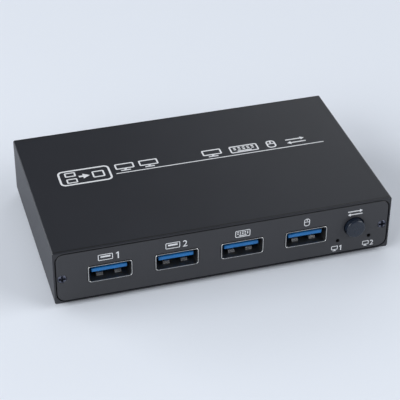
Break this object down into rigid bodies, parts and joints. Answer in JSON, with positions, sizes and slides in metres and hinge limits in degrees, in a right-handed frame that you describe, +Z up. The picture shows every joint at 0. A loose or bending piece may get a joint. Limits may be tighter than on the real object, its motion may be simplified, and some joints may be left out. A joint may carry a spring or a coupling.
{
  "type": "kvm switch",
  "caption": "Low rectangular metal box with cable sockets front and rear and a sprung push button, for sharing one keyboard, screen and mouse between computers.",
  "frame": {"origin": "on the surface the box stands on, under the middle of the whole object's box", "axes": "+X to the right as seen from the front, +Y from the front panel to the rear panel, +Z up"},
  "size_m": [0.103, 0.0638, 0.0196],
  "materials": {
    "case_charcoal": "satin charcoal coating",
    "panel_charcoal": "satin charcoal coating",
    "screw_black": "black zinc",
    "shell_nickel": "nickel plated sheet",
    "insert_blue": "moulded bright blue",
    "insert_black": "moulded black",
    "button_slate": "satin dark slate blue",
    "foot_rubber": "matte black",
    "board_green": "green solder mask",
    "chip_black": "moulded epoxy",
    "crystal_can": "plated can",
    "inductor_grey": "pressed ferrite",
    "capacitor_can": "drawn can",
    "switch_black": "moulded black",
    "switch_steel": "pressed plate",
    "plunger_white": "moulded white",
    "spring_steel": "drawn wire",
    "lamp_clear": "clear moulding"
  },
  "bodies": {
    "case": {"case_sleeve": "case_charcoal", "front_panel": "panel_charcoal", "rear_panel": "panel_charcoal", "front_left_screw": "screw_black", "front_right_screw": "screw_black", "rear_left_screw": "screw_black", "rear_right_screw": "screw_black", "front_left_foot": "foot_rubber", "front_right_foot": "foot_rubber", "rear_left_foot": "foot_rubber", "rear_right_foot": "foot_rubber", "circuit_board": "board_green", "type_a_1_shell": "shell_nickel", "type_a_2_shell": "shell_nickel", "type_a_3_shell": "shell_nickel", "type_a_4_shell": "shell_nickel", "type_a_1_insert": "insert_blue", "type_a_2_insert": "insert_blue", "type_a_3_insert": "insert_blue", "type_a_4_insert": "insert_blue", "type_b_1_shell": "shell_nickel", "type_b_2_shell": "shell_nickel", "type_b_1_insert": "insert_black", "type_b_2_insert": "insert_black", "video_in_1_shell": "shell_nickel", "video_in_2_shell": "shell_nickel", "video_out_shell": "shell_nickel", "video_in_1_insert": "insert_black", "video_in_2_insert": "insert_black", "video_out_insert": "insert_black", "power_shell": "shell_nickel", "power_insert": "insert_black", "switch_cover": "switch_steel", "switch_housing": "switch_black", "switch_spring": "spring_steel", "left_lamp": "lamp_clear", "right_lamp": "lamp_clear", "video_switch_chip": "chip_black", "hub_chip": "chip_black", "controller_chip": "chip_black", "crystal": "crystal_can", "inductor": "inductor_grey", "regulator": "chip_black", "capacitor_1": "capacitor_can", "capacitor_2": "capacitor_can"},
    "button": {"button_cap": "button_slate", "switch_plunger": "plunger_white"}
  },
  "joints": [
    {"name": "button_press", "type": "slide", "parent": "case", "child": "button", "axis": [0, 1, 0], "range_m": [0, 0.0015], "stiffness_N_per_m": 800, "springref_m": -0.001, "deforming": ["switch_spring"]}
  ]
}
